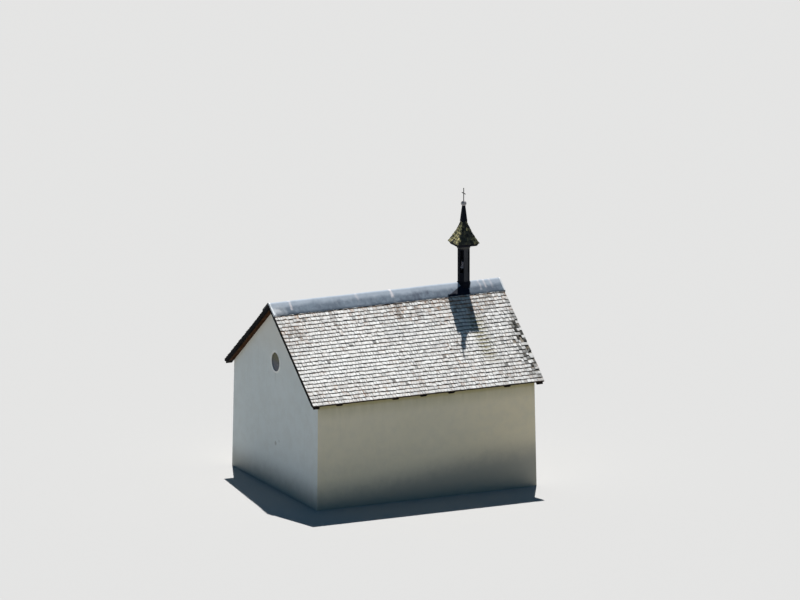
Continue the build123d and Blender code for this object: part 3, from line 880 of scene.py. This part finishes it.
def shingle_slope(side, hand):
    """All courses of one slope, from the eave up to under the ridge sheet."""
    rng = random.Random(seeds[f"{hand}_shingles"])
    pieces = Pieces()
    reach = half_roof - verge_inset
    count = int((eave_reach - first_seen_course) / course) + 1
    courses = [(0, 0.5 * course_fall + bed, length) for bed, length in starter_courses]
    courses += [(k, course_bed, shingle_length) for k in range(count)]
    for k, under, length in courses:
        down = eave_reach - k * course
        length = min(length, down - top_of_shingles)
        at = -reach + rng.uniform(-verge_ragged, 0.0) + verge_ragged
        while at < reach - verge_ragged:
            width = rng.triangular(narrow, wide, usual)
            left_over = reach - at
            if left_over < 1.5 * narrow + width:
                width = left_over if left_over < wide else 0.5 * left_over
            middle = at + width / 2
            worn = worn_patch(side * middle, down) * (worn_share_left if side < 0 else 1.0)
            waver = course_waver * drift(0.9 * middle, 1.7 * k, 5.0) + rng.gauss(0.0, butt_scatter)
            slip = rng.uniform(*slip_range) if rng.random() < slip_chance + slip_chance_worn * worn else 0.0
            butt = down + (waver + slip if k else -abs(waver) * 0.6)
            butt = min(butt, eave_reach - eave_clearance)
            stands_up = rng.random() < raised_chance + raised_chance_worn * worn
            raised = rng.uniform(*raised_range) if stands_up else 0.0
            gone = k > 1 and rng.random() < gone_chance_worn * worn
            if not gone:
                look = shingle_weathering(rng, side, middle, down)
                depth = under + rng.uniform(0.0, loose_bedding) + bedding - raised
                right = at + width - shingle_gap * rng.uniform(*gap_share)
                lay_shingle(pieces, rng, side, at, right, butt, depth, look, length)
            at += width
    pieces.finished(f"{hand}_shingle_courses", "shingles", f"{hand}_shingles", smooth=smooth_shingles)


for side, hand in slopes:
    shingle_slope(side, hand)


# Roof boards, laid down the slope side by side
board_width = 0.185
board_gap = 0.004
board_thinning = 0.0015
board_steps = 6


def roof_boards(side, hand):
    rng = random.Random(seeds[f"{hand}_boards"])
    pieces = Pieces()
    eave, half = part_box("right_roof_boarding")[1].xy
    count = round(2 * half / board_width)
    pitch = 2 * half / count
    outwards = [eave * step / board_steps for step in range(board_steps, -1, -1)]
    for number in range(count):
        left = -half + number * pitch + board_gap / 2
        right = left + pitch - board_gap
        depths = (shingle_coat, shingle_coat + boarding - rng.uniform(0.0, board_thinning))
        rows = []
        for x in outwards:
            ends = [((x + depth * lean) / steep, -depth) for depth in depths]
            rows.append([[slope_point(side, u, *end) for end in ends] for u in (left, right)])
        pieces.slab(rows)
    pieces.finished(f"{hand}_roof_boards", "board", f"{hand}_roof_boarding")


for side, hand in slopes:
    roof_boards(side, hand)


# Lead over the ridge, in lengths that lap each other
lead = 0.0035
lap_clearance = 0.001
sheet_seams = (-half_roof, -1.72, 0.13, 1.98, half_roof)
sheet_lap = 0.07
sheet_rise = 0.0045
sheet_dressed = 0.0135
sheet_columns = 30
sheet_row = 0.07
sheet_trim = 0.004
large_dents = 0.0035
small_dents = 0.0016
edge_ripple = 0.005
edge_share = 0.2
round_length = flashing_round * roof_pitch
sheet_half = round_length + flashing_reach - flashing_round * slope
round_centre = ridge_height - flashing_round / steep


def crown_point(around, y, height):
    """Point this far round from the crown of the ridge, and this high over the roof under the sheet."""
    side = -1 if around < 0 else 1
    turn = min(abs(around), round_length) / flashing_round
    past = max(0.0, abs(around) - round_length)
    radius = flashing_round + height
    x = radius * sin(turn) + past * steep
    z = round_centre + radius * cos(turn) - past * lean
    return (side * x, y, z)


def sheet_height(around, y, share):
    """How high the sheet's top lies over the roof, at a share of its length from its start."""
    dent = large_dents * drift(2.1 * around, 1.1 * y, 2.0)
    dent += small_dents * drift(7.0 * around, 4.3 * y, 8.0)
    edge = max(0.0, (abs(around) - (1 - edge_share) * sheet_half) / (edge_share * sheet_half))
    ripple = edge_ripple * edge * edge * (drift(3.0 * around, 7.5 * y, 21.0) + 0.3)
    lapping = (lead + lap_clearance) * share
    return sheet_rise + lapping + dent + ripple - sheet_dressed * edge**3


def sheet_lengths():
    """Where each length of the sheet starts, where the next one starts, and where its lap ends."""
    for start, end in zip(sheet_seams, sheet_seams[1:]):
        yield start, end, end if end == sheet_seams[-1] else end + sheet_lap


def ridge_lengths():
    rng = random.Random(seeds["ridge_sheet"])
    pieces = Pieces()
    for start, _, lapped in sheet_lengths():
        steps = ceil((lapped - start) / sheet_row)
        trim = rng.uniform(-sheet_trim, sheet_trim)
        rows = []
        for i in range(steps + 1):
            share = i / steps
            y = start + (lapped - start) * share
            row = []
            for j in range(sheet_columns + 1):
                centred = 2 * j / sheet_columns - 1
                width = sheet_half + trim + sheet_trim * drift(centred, 1.9 * y, 14.0)
                around = centred * width
                height = sheet_height(around, y, share)
                row.append([crown_point(around, y, level) for level in (height, height - lead)])
            rows.append(row)
        pieces.slab(rows)
    pieces.finished("ridge_sheet_lengths", "sheet", "ridge_flashing", smooth=smooth_sheet)


ridge_lengths()

# Nails: domed heads on the sheet's lower edges, the door's straps and its boards
head_corners = 8
head_rings = ((1.0, -0.5), (1.0, 0.25), (0.6, 0.85))
sheet_nail_spacing = 0.29
sheet_nail_inset = 0.028
sheet_nail_wander = (0.12, 0.004)
sheet_nail = (0.0065, 0.003)
strap_nail = (0.008, 0.0035)
board_nail = (0.006, 0.0035)
ledge_nail = (0.006, 0.003)
leaf_low, leaf_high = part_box("door_leaf")
strap_tip = 0.02
strap_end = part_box("door_hinges")[1].x - strap_tip
strap_thickness = 0.005
strap_inset = 0.26
ledge_level = 1.74
door_boards = 5
board_nail_wander = 0.012
ledge_nail_wander = 0.02


def nail(pieces, centre, out, radius, rise):
    """One domed head, a little sunk, facing out."""
    out = Vector(out)
    across = out.orthogonal().normalized()
    up = out.cross(across)
    turns = [2 * pi * corner / head_corners for corner in range(head_corners)]
    spokes = [(across * cos(turn) + up * sin(turn)) * radius for turn in turns]
    rings = []
    for share, lifted in head_rings:
        rings.append([tuple(Vector(centre) + spoke * share + out * rise * lifted) for spoke in spokes])
    pieces.stack(rings)


def sheet_nails():
    rng = random.Random(seeds["sheet_nails"])
    pieces = Pieces()
    along, down = sheet_nail_wander
    for side in (-1, 1):
        for start, end, lapped in sheet_lengths():
            count = round((end - start) / sheet_nail_spacing)
            for number in range(count):
                y = start + (number + 0.5 + rng.uniform(-along, along)) * (end - start) / count
                around = side * (sheet_half - sheet_nail_inset + rng.uniform(-down, down))
                height = sheet_height(around, y, (y - start) / (lapped - start))
                nail(pieces, crown_point(around, y, height), (side * lean, 0.0, steep), *sheet_nail)
    pieces.finished("sheet_nails", "iron")


def door_nails():
    rng = random.Random(seeds["door_nails"])
    pieces = Pieces()
    board = (leaf_high.x - leaf_low.x) / door_boards
    middles = [leaf_low.x + (number + 0.5) * board for number in range(door_boards)]
    places = [middle + offset * board for middle in middles for offset in (-0.25, 0.25)]
    outwards = (0.0, 1.0, 0.0)
    for level in (leaf_low.z + strap_inset, leaf_high.z - strap_inset):
        for place in places:
            if place < strap_end:
                nail(pieces, (place, leaf_high.y + strap_thickness, level), outwards, *strap_nail)
            else:
                z = level + rng.uniform(-board_nail_wander, board_nail_wander)
                nail(pieces, (place, leaf_high.y, z), outwards, *board_nail)
    for place in places:
        z = ledge_level + rng.uniform(-ledge_nail_wander, ledge_nail_wander)
        nail(pieces, (place, leaf_high.y, z), outwards, *ledge_nail)
    pieces.finished("door_nails", "iron")


sheet_nails()
door_nails()


# The turret's cap: lichened shingles on four flared faces over a boarded core
cap_low, cap_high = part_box("turret_cap")
cap_centre = (cap_low + cap_high) / 2
cap_half_width = (cap_high.x - cap_low.x) / 2
cap_edge = 0.03
cap_soffit_rise = 0.065
cap_soffit_inset = 0.045
cap_drip = 0.015
cap_base = cap_edge + cap_soffit_rise
cap_flare_height = cap_high.z - cap_low.z - cap_base
cap_neck = 0.076
cap_flare_power = 1.4
cap_courses = 7
cap_shingle_length = 0.155
cap_shingle_width = 0.085
cap_eave_droop = 0.012
cap_corner_lap = 0.008
cap_core_inset = 0.022
cap_core_drop = 0.008
cap_core_levels = 8
cap_core_squash = 0.985
cap_clearance = 0.001

# How uneven the cap's shingles are
cap_butt_scatter = 0.010
cap_eave_scatter = 0.016
cap_shingle_lift = 0.008
cap_loose_lift = (0.004, 0.012)
cap_jag = 0.007
cap_loose_chance = 0.2
cap_cut_scatter = 0.22

# Rows of points along a cap shingle, as shares, how it lies over the core, and how much lichen it bears, set
# partly as painted light
cap_rows = (0.0, 0.12, 0.5, 1.0)
cap_proud = 0.004
cap_tuck = 0.016
cap_butt_sag = 0.003
cap_gap = 0.0015
cap_step = 0.01
lichen_and_light_on_faces = (0.0, 0.22, 0.28, 0.62)


def cap_half(rise):
    """Half the cap's width at this height above its eave edge."""
    left = within(1 - rise / cap_flare_height)
    return cap_neck + (cap_half_width - cap_neck) * left**cap_flare_power


def cap_point(face, across, rise, out):
    """Point on one of the four faces, across to the right, up from the eave edge, out of the face."""
    fall = (cap_half(rise + cap_step) - cap_half(rise - cap_step)) / (2 * cap_step)
    length = sqrt(1 + fall * fall)
    away = cap_half(rise) + out / length
    z = cap_low.z + cap_base + rise - out * fall / length
    turn = face * pi / 2
    x = away * cos(turn) - across * sin(turn)
    y = away * sin(turn) + across * cos(turn)
    return (cap_centre.x + x, cap_centre.y + y, z)


def cap_weathering(rng, face, across):
    """Lichen, its amount per face set partly as painted light: thickest on the lit face that looks along the
    ridge, nearly bare on the shaded face beside it.
    """
    tone = within(rng.gauss(0.5, 0.28))
    brown = 0.5 * rng.random() ** 2
    usual_growth = lichen_and_light_on_faces[face] + 0.3 * max(0.0, across) * (face == 0)
    return tone, brown, within(rng.gauss(usual_growth, 0.34))


def lay_cap_shingle(pieces, rng, face, k, rise, left, right):
    """One shingle of course k on a face of the cap. Left and right are shares of the face's half width."""
    butt = rise + rng.gauss(0.0, cap_butt_scatter)
    if k == 0:
        butt = rise - rng.uniform(0.0, cap_eave_scatter)
    thick = rng.uniform(*butt_thickness)
    lift = rng.uniform(0.0, cap_shingle_lift)
    if rng.random() < cap_loose_chance:
        lift += rng.uniform(*cap_loose_lift)
    corner = cap_corner_lap if abs(left) == 1 or abs(right) == 1 else 0.0
    pick = rng.random()
    look = cap_weathering(rng, face, left)
    head = min(rise + cap_shingle_length, cap_flare_height)
    rows = []
    grain = []
    for share in cap_rows:
        at = butt + (head - butt) * share
        half = cap_half(at) + corner * (1 - share)
        out = cap_proud + lift * (1 - share) - cap_tuck * share - (cap_butt_sag if share == 0 else 0.0)
        body = tip_thickness + thick * (1 - share)
        row = []
        for j in range(3):
            u = (left + (right - left) * j / 2) * half
            gap = cap_gap * (1 - j)
            jag = cap_jag * drift(40 * u, 9.0 * k, face + 0.5) if share == 0 else 0.0
            row.append([cap_point(face, u + gap, at + jag, level) for level in (out, out - body)])
            grain.append((u, at - butt, pick))
        rows.append(row)
    pieces.slab(rows, look, grain)


def cap_cover():
    rng = random.Random(seeds["cap"])
    pieces = Pieces()
    for face in range(4):
        for k in range(cap_courses):
            rise = k * cap_flare_height / cap_courses - (cap_eave_droop if k == 0 else 0.0)
            count = max(2, round(2 * cap_half(rise) / cap_shingle_width))
            strays = [rng.uniform(-cap_cut_scatter, cap_cut_scatter) for _ in range(count + 1)]
            cuts = [-1 + 2 * (i + stray) / count for i, stray in enumerate(strays)]
            cuts[0], cuts[-1] = -1.0, 1.0
            for left, right in zip(cuts, cuts[1:]):
                lay_cap_shingle(pieces, rng, face, k, rise, left, right)
    pieces.finished("cap_shingle_courses", "cap", "turret_cap", smooth=smooth_shingles)


def cap_core():
    """The boarded core under the cap's shingles, from its soffit up to the spire."""
    levels = [
        (cap_low.z + cap_clearance, cap_half_width - cap_soffit_inset - cap_clearance),
        (cap_low.z + cap_soffit_rise, cap_half_width - cap_drip - cap_clearance),
    ]
    for i in range(cap_core_levels + 1):
        rise = i * cap_flare_height / cap_core_levels
        z = cap_low.z + cap_base - cap_core_drop + rise * cap_core_squash
        levels.append((z, cap_half(rise) - cap_core_inset))
    rings = []
    for z, half in levels:
        rings.append([(cap_centre.x + x * half, cap_centre.y + y * half, z) for x, y in square])
    pieces = Pieces()
    pieces.stack(rings)
    pieces.finished("cap_core", "stave")


cap_cover()
cap_core()


def floor():
    ground = Finish("pale floor", None)
    ground.surface(Base_Color=floor_tone, Roughness=0.95)
    mesh = bpy.data.meshes.new("floor")
    corners = [(x * floor_half, y * floor_half, 0) for x, y in square]
    mesh.from_pydata(corners, [], [(0, 1, 2, 3)])
    mesh.materials.append(ground.material)
    plane = add_object("floor", mesh)


def light():
    lamp = bpy.data.lights.new("sun", "SUN")
    lamp.energy = sun_strength
    lamp.angle = sun_width
    lamp.color = sun_colour
    sun = add_object("sun", lamp)
    sun.rotation_euler = sun_travel.to_track_quat("-Z", "Y").to_euler()
    world = bpy.data.worlds.new("sky")
    world.use_nodes = True
    sky = world.node_tree.nodes["Background"]
    sky.inputs["Color"].default_value = (*sky_colour, 1.0)
    sky.inputs["Strength"].default_value = sky_strength
    bpy.context.scene.world = world


def camera():
    """A long lens, aimed so that the chapel's datum falls on its pixel of the picture."""
    right = Vector((cos(view_azimuth), sin(view_azimuth), 0))
    back = Vector((sin(view_azimuth), -cos(view_azimuth), 0)) * cos(view_elevation)
    back += Vector((0, 0, sin(view_elevation)))
    up = back.cross(right)
    side_step = (picture_width / 2 - datum_pixel[0]) / pixels_per_metre
    rise = (datum_pixel[1] - picture_height / 2) / pixels_per_metre
    aim = Vector((0, 0, datum_height)) + right * side_step + up * rise
    lens = bpy.data.cameras.new("camera")
    lens.sensor_width = sensor_width
    lens.lens = sensor_width * view_distance * pixels_per_metre / picture_width
    lens.clip_start = nearest_seen
    lens.clip_end = farthest_seen
    viewer = add_object("camera", lens)
    axes = Matrix((right, up, back)).transposed().to_4x4()
    viewer.matrix_world = Matrix.Translation(aim + back * (view_distance + view_depth)) @ axes
    bpy.context.scene.camera = viewer
    bpy.context.scene.view_settings.view_transform = "Standard"


floor()
light()
camera()
